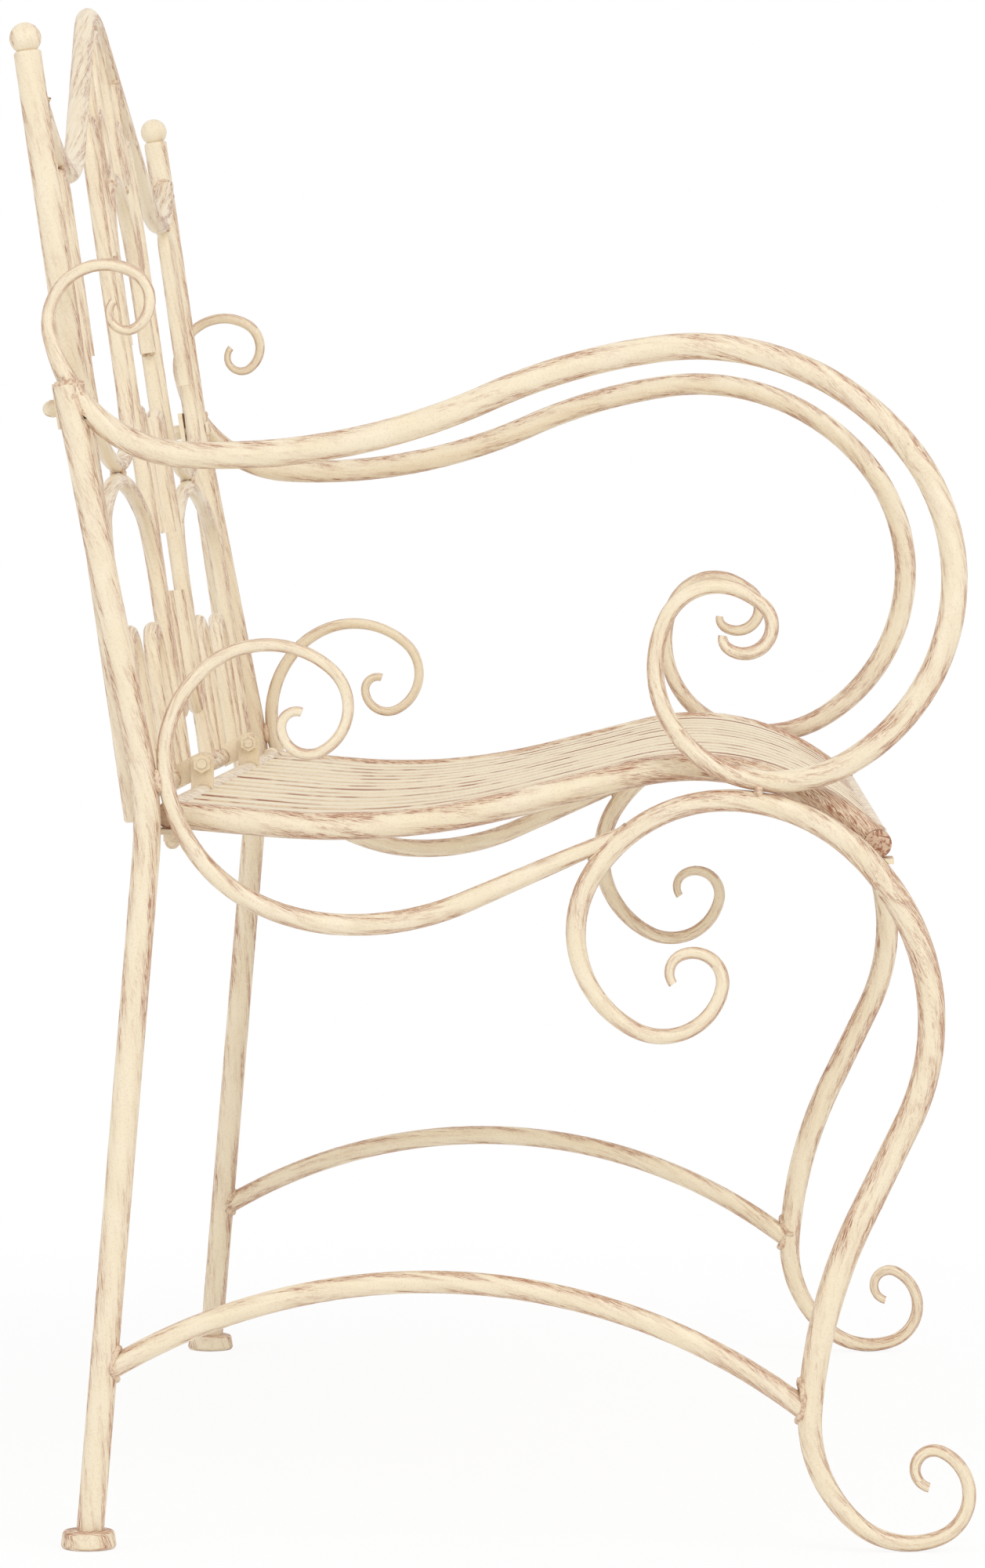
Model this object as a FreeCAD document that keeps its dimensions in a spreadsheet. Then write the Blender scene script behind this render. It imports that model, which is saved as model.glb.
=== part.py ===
import FreeCAD, Part
import math
import os

# A wrought iron garden bench for two: a pair of scrolled side frames, a bolted-on
# back panel and a slatted seat that sits between the frames on small tabs.
# Units are millimetres, Z is up, the sitter faces -Y and their left hand is +X.

os.makedirs("parts", exist_ok=True)
doc = FreeCAD.newDocument("garden_bench")
Vec = FreeCAD.Vector

sheet = doc.addObject("Spreadsheet::Sheet", "Sizes")
driving_sizes = [
    # whole bench
    ("frame_spacing", 1050.0, "between the centre planes of the two side frames"),
    ("weld_gap", 0.2, "room left between two welded tubes for the bead"),
    # tube diameters
    ("leg_diameter", 16.0, "rear leg tube"),
    ("arm_diameter", 16.0, "arm tube where it is thickest"),
    ("front_leg_diameter", 16.5, "front leg tube where it is thickest"),
    ("seat_scroll_diameter", 12.5, "seat scroll rod where it is thickest"),
    ("stretcher_diameter", 13.0, "stretcher rod"),
    ("post_diameter", 16.0, "back post tube"),
    ("top_rail_diameter", 13.0, "wavy top rail of the back"),
    ("bottom_rail_diameter", 12.0, "straight bottom rail of the back"),
    ("rod_diameter", 10.0, "rods that fill the back"),
    ("seat_rail_diameter", 16.0, "front, rear and side rails of the seat"),
    # rear leg
    ("knee_height", 427.0, "height of the bend in the rear leg"),
    ("knee_reach", 36.0, "how far the bend stands ahead of the foot"),
    ("knee_radius", 200.0, "bend radius of the rear leg"),
    ("rear_lean", 11.0, "lean of the leg above the bend, degrees"),
    ("cap_diameter", 33.0, "foot cap at the floor"),
    ("cap_height", 11.0, "foot cap"),
    # arm, named from the back curl to the front eye
    ("arm_joint_height", 671.0, "where the arm crosses the top of the rear leg"),
    ("arm_joint_lead", 2.0, "arm ahead of the leg's middle where they cross"),
    ("back_eye_radius", 10.0, "arm bend"),
    ("back_curl_radius", 19.0, "arm bend"),
    ("back_loop_radius", 33.0, "arm bend"),
    ("back_rise_radius", 120.0, "arm bend"),
    ("arm_heel_radius", 80.0, "arm bend"),
    ("arm_sag_radius", 380.0, "arm bend"),
    ("arm_rise_radius", 365.0, "arm bend"),
    ("arm_crest_radius", 157.0, "arm bend"),
    ("arm_nose_radius", 121.0, "arm bend"),
    ("arm_under_radius", 82.0, "arm bend"),
    ("arm_return_radius", 65.0, "arm bend"),
    ("arm_curl_radius", 32.5, "arm bend"),
    ("arm_ease_radius", 73.0, "arm bend"),
    ("arm_eye_radius", 16.0, "arm bend"),
    ("arm_tip_radius", 8.0, "arm bend"),
    # front leg, named from its shoulder down to the foot and back to the inner eye
    ("leg_crown_reach", 368.0, "how far the top of the front leg stands ahead of the rear foot"),
    ("shoulder_radius", 111.0, "front leg bend"),
    ("knee_front_radius", 133.0, "front leg bend"),
    ("ankle_radius", 292.0, "front leg bend"),
    ("heel_radius", 79.0, "front leg bend"),
    ("sole_radius", 47.0, "front leg bend"),
    ("toe_radius", 27.0, "front leg bend"),
    ("toe_eye_radius", 11.0, "front leg bend"),
    ("flank_radius", 91.0, "front leg bend"),
    ("belly_radius", 63.0, "front leg bend"),
    ("inner_curl_radius", 35.0, "front leg bend"),
    ("inner_eye_radius", 17.0, "front leg bend"),
    ("inner_tip_radius", 11.0, "front leg bend"),
    # seat scroll, named from its weld on the rear leg
    ("scroll_weld_height", 457.0, "where the seat scroll meets the rear leg"),
    ("scroll_drop_radius", 93.0, "seat scroll bend"),
    ("scroll_floor_radius", 125.0, "seat scroll bend"),
    ("scroll_rise_radius", 162.0, "seat scroll bend"),
    ("scroll_back_radius", 68.0, "seat scroll bend"),
    ("scroll_top_radius", 55.0, "seat scroll bend"),
    ("scroll_curl_radius", 29.0, "seat scroll bend"),
    ("scroll_eye_radius", 16.0, "seat scroll bend"),
    ("scroll_tip_radius", 9.0, "seat scroll bend"),
    # stretcher
    ("stretcher_rear_height", 101.5, "stretcher end on the rear leg"),
    ("stretcher_front_height", 79.5, "stretcher end on the front leg"),
    ("stretcher_rise", 64.0, "arch of the stretcher above its ends"),
    # seat
    ("seat_rail_height", 423.5, "centre of the rear seat rail"),
    ("rear_rail_lead", 12.0, "rear seat rail ahead of the rear leg"),
    ("front_rail_lead", 6.0, "front seat rail ahead of the front leg beside it"),
    ("dish_radius", 420.0, "hollow of the seat"),
    ("seat_rise", 72.0, "straight slope between the hollow and the front"),
    ("waterfall_radius", 150.0, "rounded front of the seat"),
    ("slat_width", 50.0, "flat seat slat"),
    ("slat_thickness", 4.0, "flat seat slat"),
    ("slat_drop", 2.0, "slat top below the top of the side rails"),
    ("seat_side_gap", 4.0, "between the seat and the side frame tubes"),
    # back panel, heights measured along the panel from its bottom rail
    ("back_base_height", 434.0, "bottom rail above the floor"),
    ("back_base_setback", 11.0, "bottom rail behind the knee of the rear leg"),
    ("post_inset", 28.0, "post centre inside the side frame"),
    ("rod_lead", 2.0, "rails and rods of the back ahead of the posts"),
    ("post_tail", 15.0, "post below the bottom rail"),
    ("ball_height", 442.0, "centre of the ball finials"),
    ("ball_diameter", 18.5, "ball finial"),
    ("crest_height", 488.0, "top rail at the middle"),
    ("crest_bend", 150.0, "bend of the top rail over the middle"),
    ("dip_height", 370.0, "top rail at its dips"),
    ("dip_bend", 250.0, "bend of the top rail in its dips"),
    ("dip_reach", 130.0, "dips inside the posts"),
    ("rail_end_rise", 33.0, "top rail at the posts above its dips"),
    ("upright_reach", 104.0, "centre uprights from the middle"),
    ("shoulder_bend", 50.0, "corner radius of the big arches"),
    ("arch_height", 185.0, "crown of the big arches"),
    ("hook_reach", 57.0, "outer arm of the upper scrolls inside the posts"),
    ("outer_hook_radius", 14.0, "hook beside the post"),
    ("outer_hook_drop", 92.0, "length of the outer hook's short leg"),
    ("inner_hook_top", 413.0, "top of the inner hooks"),
    ("inner_hook_drop", 62.0, "length of the inner hook's short leg"),
    ("basket_bend", 45.0, "corner radius of the upper scrolls"),
    ("hairpin_reach", 90.0, "inner hairpins from the middle of their arch"),
    ("hairpin_pitch", 180.0, "between two hairpins"),
    ("hairpin_radius", 29.0, "round top of a hairpin"),
    ("hairpin_height", 93.0, "top of the hairpins"),
    ("centre_arch_height", 383.0, "top of the arch between the uprights"),
    ("centre_arch_drop", 110.0, "length of that arch's legs"),
    ("ring_rise", 20.0, "crest rings above that arch"),
    ("crest_pin_radius", 45.0, "hairpin under the crest"),
    ("long_hook_radius", 22.0, "hooks of the long centre scrolls"),
    ("long_hook_top", 231.0, "top of the long centre scrolls"),
    ("long_hook_foot", 39.0, "foot of the long centre scrolls"),
    ("long_hook_drop", 55.0, "short legs of the long centre scrolls"),
    # tabs and fasteners
    ("tab_thickness", 3.0, "flat tabs"),
    ("tab_width", 18.0, "flat tabs"),
    ("back_tab_height", 26.0, "tabs behind the posts"),
    ("back_tab_lead", 2.0, "posts ahead of the rear leg's middle at their bolts"),
    ("back_tab_level", 660.0, "bolts through the posts, above the floor"),
    ("clip_reach", 231.0, "seat clips from the middle"),
    ("clip_rise", 21.0, "clip bolt above the rear seat rail"),
    ("bolt_diameter", 6.0, "all bolts"),
    ("bolt_clearance", 0.4, "bolt holes"),
    ("head_diameter", 11.0, "domed bolt heads"),
    ("head_height", 3.5, "domed bolt heads"),
    ("head_room", 1.5, "between bolt heads and the seat's side rails"),
    ("spot_depth", 1.0, "flat under a bolt head, cut into its tube"),
    ("bolt_end", 1.0, "bolt past its nut"),
    ("nut_across_flats", 10.0, "hex and acorn nuts"),
    ("nut_height", 5.0, "hex and acorn nuts"),
]
for row, (alias, value, note) in enumerate(driving_sizes, 1):
    sheet.set("A%d" % row, alias)
    sheet.set("B%d" % row, "%g" % value)
    sheet.setAlias("B%d" % row, alias)
    sheet.set("C%d" % row, note)
doc.recompute()


def size(alias):
    return float(sheet.get(alias))


SLAT_COUNT = 14
nodes = []


def keep(thing, label, place=None):
    # name a finished sub-part and put it in its place
    thing.Label = label
    if place is not None:
        thing.Placement = place
    nodes.append(thing)
    return thing


def opposite(source, label):
    # the same piece on the other side of the bench
    twin = doc.addObject("Part::Mirroring", "Twin")
    twin.Source = source
    twin.Normal = Vec(1, 0, 0)
    twin.Base = Vec(0, 0, 0)
    return keep(twin, label)


def cut(base, *tools):
    # take one or more cutters out of a piece
    for tool in tools:
        step = doc.addObject("Part::Cut", "Coped")
        step.Base = base
        step.Tool = tool
        base = step
    return base


# Centre lines. A bend list reads like a bender's card: (radius, turn in degrees),
# left turns positive, and (0, length) for a straight. Points are (along, up).

def run(start, heading, bends):
    pieces = []
    along, up = start
    angle = math.radians(heading)
    for radius, amount in bends:
        if radius == 0:
            end = (along + amount * math.cos(angle), up + amount * math.sin(angle))
            pieces.append(((along, up), None, end, angle, angle))
            along, up = end
            continue
        side = 1 if amount > 0 else -1
        turn = math.radians(amount)
        hub = (along - side * radius * math.sin(angle), up + side * radius * math.cos(angle))

        def rim(part):
            now = angle + turn * part
            return (hub[0] + side * radius * math.sin(now), hub[1] - side * radius * math.cos(now))

        pieces.append(((along, up), rim(0.5), rim(1.0), angle, angle + turn))
        along, up = rim(1.0)
        angle = angle + turn
    return pieces


def reverse(pieces):
    back = []
    for first, middle, last, angle_in, angle_out in reversed(pieces):
        back.append((last, middle, first, angle_out + math.pi, angle_in + math.pi))
    return back


def side_point(spot):
    # the side frames are drawn in a plane that runs front to back
    return Vec(0, -spot[0], spot[1])


def side_way(angle):
    return Vec(0, -math.cos(angle), math.sin(angle))


def back_point(spot):
    # the back panel is drawn upright and tilted afterwards
    return Vec(spot[0], 0, spot[1])


def back_way(angle):
    return Vec(math.cos(angle), 0, math.sin(angle))


side_plane = (side_point, side_way, Vec(1, 0, 0))
back_plane = (back_point, back_way, Vec(0, 1, 0))


def wire_of(pieces, plane):
    point = plane[0]
    edges = []
    for first, middle, last, angle_in, angle_out in pieces:
        if middle is None:
            edges.append(Part.LineSegment(point(first), point(last)).toShape())
        else:
            edges.append(Part.Arc(point(first), point(middle), point(last)).toShape())
    return Part.Wire(edges)


def stations_of(pieces, plane, taper):
    # where the round sections stand along a centre line, and their share of full size
    point, way, across = plane
    marks = [(pieces[0][0], pieces[0][3])]
    if taper is None:
        taper = [1.0]
    else:
        for piece in pieces:
            marks.append((piece[2], piece[4]))
    stations = []
    for (spot, angle), share in zip(marks, taper):
        axis = way(angle)
        turn = FreeCAD.Rotation(across, axis.cross(across), axis, "ZXY")
        stations.append((FreeCAD.Placement(point(spot), turn), share))
    return stations


def tube(pieces, plane, alias, taper=None, grow=False):
    # a round rod along a centre line, thinned towards its ends by the taper list
    path = doc.addObject("Part::Feature", "CentreLine")
    path.Shape = wire_of(pieces, plane)
    rings = []
    for place, share in stations_of(pieces, plane, taper):
        ring = doc.addObject("Part::Circle", "Ring")
        rule = "Sizes.%s / 2 * %g" % (alias, share)
        if grow:
            rule = rule + " + Sizes.weld_gap"
        ring.setExpression("Radius", rule)
        ring.Placement = place
        rings.append(ring)
    rod = doc.addObject("Part::Sweep", "Rod")
    rod.Sections = rings
    rod.Spine = (path, ["Edge%d" % (n + 1) for n in range(len(pieces))])
    rod.Solid = True
    rod.Frenet = False
    return rod


def lowest_of(pieces, alias, taper):
    # how low a bent rod reaches, measured on a throwaway copy
    rings = []
    for place, share in stations_of(pieces, side_plane, taper):
        ring = Part.Circle(Vec(0, 0, 0), Vec(0, 0, 1), size(alias) / 2 * share).toShape()
        ring.Placement = place
        rings.append(Part.Wire(ring))
    copy = wire_of(pieces, side_plane).makePipeShell(rings, True, False)
    return copy.optimalBoundingBox(False).ZMin


def nearest(low, high, clear):
    # the highest value that still leaves two pieces clear of each other
    for trial in range(40):
        middle = (low + high) / 2
        if clear(middle):
            low = middle
        else:
            high = middle
    return low


def reach_at(pieces, level, first=0):
    # where a side-frame centre line passes a given height
    for start, middle, end, angle_in, angle_out in pieces[first:]:
        low, high = sorted((start[1], end[1]))
        if not low <= level <= high:
            continue
        line = wire_of([(start, middle, end, angle_in, angle_out)], side_plane)
        far = 2 * size("frame_spacing")
        ruler = Part.LineSegment(side_point((-far, level)), side_point((far, level))).toShape()
        return -line.distToShape(ruler)[1][0][0].y
    raise ValueError("the centre line does not pass that height")


def cylinder(alias, length, start, turn, grow=False):
    # a straight round piece from a start point
    bar = doc.addObject("Part::Cylinder", "Bar")
    rule = "Sizes.%s / 2" % alias
    if grow:
        rule = rule + " + Sizes.weld_gap"
    bar.setExpression("Radius", rule)
    bar.Height = length
    bar.Placement = FreeCAD.Placement(start, turn)
    return bar


upright_turn = FreeCAD.Rotation()
along_x = FreeCAD.Rotation(Vec(0, 1, 0), 90)
along_y = FreeCAD.Rotation(Vec(1, 0, 0), -90)
down_turn = FreeCAD.Rotation(Vec(1, 0, 0), 180)

gap = size("weld_gap")
half = size("frame_spacing") / 2
leg_r = size("leg_diameter") / 2
post_r = size("post_diameter") / 2
rod_r = size("rod_diameter") / 2
seat_r = size("seat_rail_diameter") / 2

# Rear leg: straight up from the foot cap, bent at seat height, leaning back above.
knee = (size("knee_reach"), size("knee_height"))
lower_angle = math.atan2(knee[1], knee[0])
upper_angle = math.radians(90 + size("rear_lean"))
knee_turn = upper_angle - lower_angle
set_off = size("knee_radius") * math.tan(knee_turn / 2)
lower_length = math.hypot(knee[0], knee[1])
leg_foot = size("cap_height") * 0.35
foot_share = leg_foot / knee[1]
leg_start = (knee[0] * foot_share, leg_foot)
leg_top_length = (size("arm_joint_height") - knee[1]) / math.sin(upper_angle)
rear_leg_line = run(leg_start, math.degrees(lower_angle), [
    (0, lower_length * (1 - foot_share) - set_off),
    (size("knee_radius"), math.degrees(knee_turn)),
    (0, leg_top_length - set_off),
])
leg_top = rear_leg_line[-1][2]

# Arm: crosses the top of the leg, sags, crests and rolls under to a front eye.
arm_start = (leg_top[0] + size("arm_joint_lead"), leg_top[1])
arm_front = run(arm_start, -60, [
    (size("arm_heel_radius"), 57),
    (size("arm_sag_radius"), 27),
    (size("arm_rise_radius"), -16),
    (size("arm_crest_radius"), -58),
    (size("arm_nose_radius"), -99.5),
    (size("arm_under_radius"), -48.5),
    (size("arm_return_radius"), -97),
    (size("arm_curl_radius"), -92),
    (size("arm_ease_radius"), -9.5),
    (size("arm_eye_radius"), -177),
    (size("arm_tip_radius"), -64),
])
arm_back = run(arm_start, 120, [
    (size("back_rise_radius"), -14),
    (size("back_loop_radius"), -134),
    (size("back_curl_radius"), -114),
    (size("back_eye_radius"), -170),
])
arm_line = reverse(arm_back) + arm_front
arm_under_share = 0.8
arm_taper = [0.3, 0.38, 0.45, 0.55, 0.75,
             0.97, 1.0, 0.97, 0.92, 0.89, 0.74, 0.58, 0.52, 0.5, 0.42, 0.32]
arm = tube(arm_line, side_plane, "arm_diameter", arm_taper)
arm_cutter = tube(arm_line, side_plane, "arm_diameter", arm_taper, grow=True)

rear_leg = cut(tube(rear_leg_line, side_plane, "leg_diameter"), arm_cutter)
rear_leg_cutter = tube(rear_leg_line, side_plane, "leg_diameter", grow=True)

# Front leg: hangs on the underside of the arm and stands on its own rolled toe.
# It is drawn with its crown at zero height first, then lifted against the arm.
crown = (size("leg_crown_reach"), 0.0)
leg_shank = [
    (size("shoulder_radius"), -44),
    (size("knee_front_radius"), -72),
]
leg_foot_bends = [
    (size("ankle_radius"), 23),
    (size("heel_radius"), 51),
    (size("sole_radius"), 63),
    (size("toe_radius"), 134),
    (size("toe_eye_radius"), 190),
]
leg_inner_bends = [
    (size("flank_radius"), 58),
    (size("belly_radius"), 94),
    (size("inner_curl_radius"), 106),
    (size("inner_eye_radius"), 128),
    (size("inner_tip_radius"), 100),
]
crown_share = 0.77
leg_taper = [0.32, 0.4, 0.48, 0.57, 0.75, crown_share,
             0.91, 0.97, 1.0, 0.86, 0.66, 0.54, 0.44, 0.34]
arm_wire = wire_of(arm_front[4:7], side_plane)
crown_touch = (size("arm_diameter") * arm_under_share
               + size("front_leg_diameter") * crown_share) / 2 + gap


def crown_clear(level):
    spot = (size("leg_crown_reach"), level)
    behind = wire_of(run(spot, 180, leg_inner_bends[:1]), side_plane)
    ahead = wire_of(run(spot, 0, leg_shank[:1]), side_plane)
    room = min(behind.distToShape(arm_wire)[0], ahead.distToShape(arm_wire)[0])
    return room > crown_touch and level < arm_wire.BoundBox.ZMin


crown = (size("leg_crown_reach"), nearest(0.0, size("arm_joint_height"), crown_clear))
# the straight shin takes up whatever height is left between knee and toe
inner_line = reverse(run(crown, 180, leg_inner_bends))
short_shin = 10.0
trial_line = run(crown, 0, leg_shank + [(0, short_shin)] + leg_foot_bends)
lowest = lowest_of(inner_line + trial_line, "front_leg_diameter", leg_taper)
shin_length = short_shin - lowest / math.sin(trial_line[2][3])
front_leg_line = run(crown, 0, leg_shank + [(0, shin_length)] + leg_foot_bends)
leg_line = inner_line + front_leg_line
front_leg = tube(leg_line, side_plane, "front_leg_diameter", leg_taper)
front_leg_cutter = tube(leg_line, side_plane, "front_leg_diameter", leg_taper, grow=True)

# Seat scroll: welded to the front of the rear leg, its tip on the front leg's flank.
weld_share = 0.74
scroll_taper = [0.44, 0.48, 0.52, 0.56, 0.66, weld_share, 0.92, 1.0, 1.0, 0.66]
scroll_touch = leg_r + size("seat_scroll_diameter") / 2 * weld_share + gap
leg_wire = wire_of(rear_leg_line, side_plane)
scroll_up = [
    (size("scroll_back_radius"), -49),
    (size("scroll_top_radius"), -83),
    (size("scroll_curl_radius"), -109),
    (size("scroll_eye_radius"), -118),
    (size("scroll_tip_radius"), -110),
]
scroll_down = [
    (size("scroll_drop_radius"), 64),
    (size("scroll_floor_radius"), 23),
    (size("scroll_rise_radius"), 26.4),
]


def scroll_clear(setback):
    spot = (-setback, size("scroll_weld_height"))
    above = wire_of(run(spot, 90, scroll_up[:1]), side_plane)
    below = wire_of(run(spot, -90, scroll_down[:1]), side_plane)
    return min(above.distToShape(leg_wire)[0], below.distToShape(leg_wire)[0]) > scroll_touch


scroll_reach = -nearest(-size("leg_crown_reach"), -size("knee_reach"), scroll_clear)
scroll_weld = (scroll_reach, size("scroll_weld_height"))
scroll_end = run(scroll_weld, -90, scroll_down)[-1]
tip_start = side_point(scroll_end[2])
ray = size("leg_crown_reach")
tip_ray = Part.LineSegment(tip_start, side_point((
    scroll_end[2][0] + ray * math.cos(scroll_end[4]),
    scroll_end[2][1] + ray * math.sin(scroll_end[4])))).toShape()
# the tip goes on to the middle of the leg, where the leg's own cut shapes its end
flank_wire = wire_of(inner_line[-2:], side_plane)
tip_length = min(hit[0].sub(tip_start).Length for hit in tip_ray.distToShape(flank_wire)[1])
scroll_line = reverse(run(scroll_weld, 90, scroll_up))
scroll_line = scroll_line + run(scroll_weld, -90, scroll_down + [(0, tip_length)])
seat_scroll = cut(tube(scroll_line, side_plane, "seat_scroll_diameter", scroll_taper),
                  front_leg_cutter)

# Stretcher: one arched rod between the two legs.
brace_a = (reach_at(rear_leg_line, size("stretcher_rear_height")), size("stretcher_rear_height"))
brace_b = (reach_at(front_leg_line, size("stretcher_front_height"), 3),
           size("stretcher_front_height"))
chord = math.dist(brace_a, brace_b)
chord_slope = math.degrees(math.atan2(brace_b[1] - brace_a[1], brace_b[0] - brace_a[0]))
arch_angle = 2 * math.degrees(math.atan(2 * size("stretcher_rise") / chord))
arch_radius = chord / 2 / math.sin(math.radians(arch_angle))
brace_line = run(brace_a, chord_slope + arch_angle, [(arch_radius, -2 * arch_angle)])
stretcher = cut(tube(brace_line, side_plane, "stretcher_diameter"),
                rear_leg_cutter, front_leg_cutter)

# Foot cap: a rounded disc under the rear leg, bored to take the end of the tube.
cap_blank = doc.addObject("Part::Cone", "CapBlank")
cap_blank.setExpression("Radius1", "Sizes.cap_diameter / 2")
cap_blank.setExpression("Radius2", "Sizes.cap_diameter / 2 * 0.9")
cap_blank.setExpression("Height", "Sizes.cap_height")
cap_round = doc.addObject("Part::Fillet", "CapRound")
cap_round.Base = cap_blank
doc.recompute()
round_edges = []
for number, edge in enumerate(cap_blank.Shape.Edges, 1):
    if edge.BoundBox.ZLength < 0.001:
        round_edges.append((number, size("cap_height") * 0.25, size("cap_height") * 0.25))
cap_round.Edges = round_edges
foot_cap = cut(cap_round, rear_leg_cutter)

# The back panel leans as far as the leg does where the two are bolted together.
tab_level = size("back_tab_level")
base_reach = size("knee_reach") - size("back_base_setback")
top_reach = reach_at(rear_leg_line, tab_level) + size("back_tab_lead")
lean = math.atan2(base_reach - top_reach, tab_level - size("back_base_height"))

# Everything is moved so that the middle of the bench stands over the origin.
doc.recompute()
front_limit = front_leg.Shape.optimalBoundingBox(False).YMin
ball_limit = size("ball_height") * math.sin(lean) + size("ball_diameter") / 2
crest_limit = size("crest_height") * math.sin(lean) + size("top_rail_diameter") / 2
crest_limit = crest_limit - size("rod_lead") * math.cos(lean)
rear_limit = max(ball_limit, crest_limit) - base_reach
shift = -(front_limit + rear_limit) / 2
side_place = FreeCAD.Placement(Vec(half, shift, 0), FreeCAD.Rotation())
back_place = FreeCAD.Placement(Vec(0, shift - base_reach, size("back_base_height")),
                               FreeCAD.Rotation(Vec(1, 0, 0), -math.degrees(lean)))

rod_place = back_place.multiply(FreeCAD.Placement(Vec(0, -size("rod_lead"), 0), FreeCAD.Rotation()))

for piece, name in ((rear_leg, "rear_leg"), (front_leg, "front_leg"), (arm, "arm_scroll"),
                    (seat_scroll, "seat_scroll"), (stretcher, "stretcher")):
    opposite(keep(piece, "left_" + name, side_place), "right_" + name)


def group(label, members):
    # small identical pieces that share one node
    bunch = doc.addObject("Part::Compound", "Group")
    bunch.Links = members
    return keep(bunch, label)


def mirrored(source):
    twin = doc.addObject("Part::Mirroring", "Twin")
    twin.Source = source
    twin.Normal = Vec(1, 0, 0)
    twin.Base = Vec(0, 0, 0)
    return twin


foot_cap.Placement = side_place
group("foot_caps", [foot_cap, mirrored(foot_cap)])

# Back panel, drawn upright round its bottom rail and tilted into place.
post_x = half - size("post_inset")
hole_r = (size("bolt_diameter") + size("bolt_clearance")) / 2
head_r = size("head_diameter") / 2
spot_r = head_r + size("bolt_clearance")
spot_depth = size("spot_depth")
thick = size("tab_thickness")
ball_seat = 50.0
post_top = size("ball_height") - size("ball_diameter") / 2 * math.sin(math.radians(ball_seat))
post_length = post_top + size("post_tail")
bolt_v = (tab_level - size("back_base_height")) / math.cos(lean)


def drill(radius, length, start, turn):
    # a plain round cutter
    bit = doc.addObject("Part::Cylinder", "Drill")
    bit.Radius = radius
    bit.Height = length
    bit.Placement = FreeCAD.Placement(start, turn)
    return bit


post_blank = cylinder("post_diameter", post_length, Vec(post_x, 0, -size("post_tail")), upright_turn)
post_round = doc.addObject("Part::Fillet", "PostRound")
post_round.Base = post_blank
doc.recompute()
end_edges = []
for number, edge in enumerate(post_blank.Shape.Edges, 1):
    if edge.BoundBox.ZLength < 0.001:
        end_edges.append((number, post_r * 0.25, post_r * 0.25))
post_round.Edges = end_edges
post_hole = drill(hole_r, 4 * post_r, Vec(post_x, -2 * post_r, bolt_v), along_y)
post_spot = drill(spot_r, post_r, Vec(post_x, spot_depth - 2 * post_r, bolt_v), along_y)
post = keep(cut(post_round, post_hole, post_spot), "left_back_post", back_place)
opposite(post, "right_back_post")
post_cutters = []
for side in (1, -1):
    post_cutters.append(cylinder("post_diameter", post_length,
                                 Vec(side * post_x, size("rod_lead"), -size("post_tail")),
                                 upright_turn, grow=True))

ball = doc.addObject("Part::Sphere", "Ball")
ball.setExpression("Radius", "Sizes.ball_diameter / 2")
ball.Angle1 = -ball_seat
ball.Placement = back_place.multiply(
    FreeCAD.Placement(Vec(post_x, 0, size("ball_height")), FreeCAD.Rotation()))
group("ball_finials", [ball, mirrored(ball)])


def both_ways(start, bends):
    # a line that runs the same way to either side of its middle
    left = []
    for radius, amount in bends:
        left.append((radius, amount if radius == 0 else -amount))
    return reverse(run(start, 180, left)) + run(start, 0, bends)


# top rail: a tall crest in the middle, a straight fall to a dip either side, ends on the posts
drop = size("crest_height") - size("dip_height")
bend_sum = size("crest_bend") + size("dip_bend")
dip_x = post_x - size("dip_reach")
sway = math.atan2(dip_x, bend_sum - drop)
sway = sway - math.acos(bend_sum / math.hypot(bend_sum - drop, dip_x))
fall = (dip_x - bend_sum * math.sin(sway)) / math.cos(sway)
end_turn = 2 * math.atan(size("rail_end_rise") / size("dip_reach"))
end_radius = size("dip_reach") / math.sin(end_turn)
top_line = both_ways((0, size("crest_height")), [
    (size("crest_bend"), -math.degrees(sway)),
    (0, fall),
    (size("dip_bend"), math.degrees(sway)),
    (end_radius, math.degrees(end_turn)),
])
top_rail = cut(tube(top_line, back_plane, "top_rail_diameter"), *post_cutters)
top_cutter = tube(top_line, back_plane, "top_rail_diameter", grow=True)
keep(top_rail, "back_top_rail", rod_place)
rail_wire = wire_of(top_line, back_plane)


def rail_over(reach):
    # height of the top rail's middle above a point of the bottom rail
    foot = back_point((reach, 0))
    plumb = Part.LineSegment(foot, back_point((reach, 2 * size("crest_height")))).toShape()
    return plumb.distToShape(rail_wire)[1][0][0].z


# bottom rail: straight between the posts
bottom_rail = cut(cylinder("bottom_rail_diameter", 2 * post_x, Vec(-post_x, 0, 0), along_x),
                  *post_cutters)
bottom_cutter = cylinder("bottom_rail_diameter", 2 * post_x, Vec(-post_x, 0, 0), along_x, grow=True)
keep(bottom_rail, "back_bottom_rail", rod_place)

# uprights from the bottom rail to the crest
upright_x = size("upright_reach")
upright = cut(cylinder("rod_diameter", rail_over(upright_x), Vec(upright_x, 0, 0), upright_turn),
              top_cutter, bottom_cutter)
opposite(keep(upright, "left_upright", rod_place), "right_upright")

# big arches with basket-handle tops, their feet on the bottom rail
crown_angle = 15.0
crown_sine = math.sin(math.radians(crown_angle))
crown_cosine = math.cos(math.radians(crown_angle))
arch_outer = post_x - math.sqrt((post_r + rod_r + gap) ** 2 - size("rod_lead") ** 2)
arch_inner = upright_x + 2 * rod_r + gap
arch_x = (arch_outer + arch_inner) / 2
arch_half = (arch_outer - arch_inner) / 2


def basket(half_width, corner):
    # crown radius and height of a three-centred arch
    crown_radius = corner + (half_width - corner) / crown_sine
    return crown_radius, crown_radius - (crown_radius - corner) * crown_cosine


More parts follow.
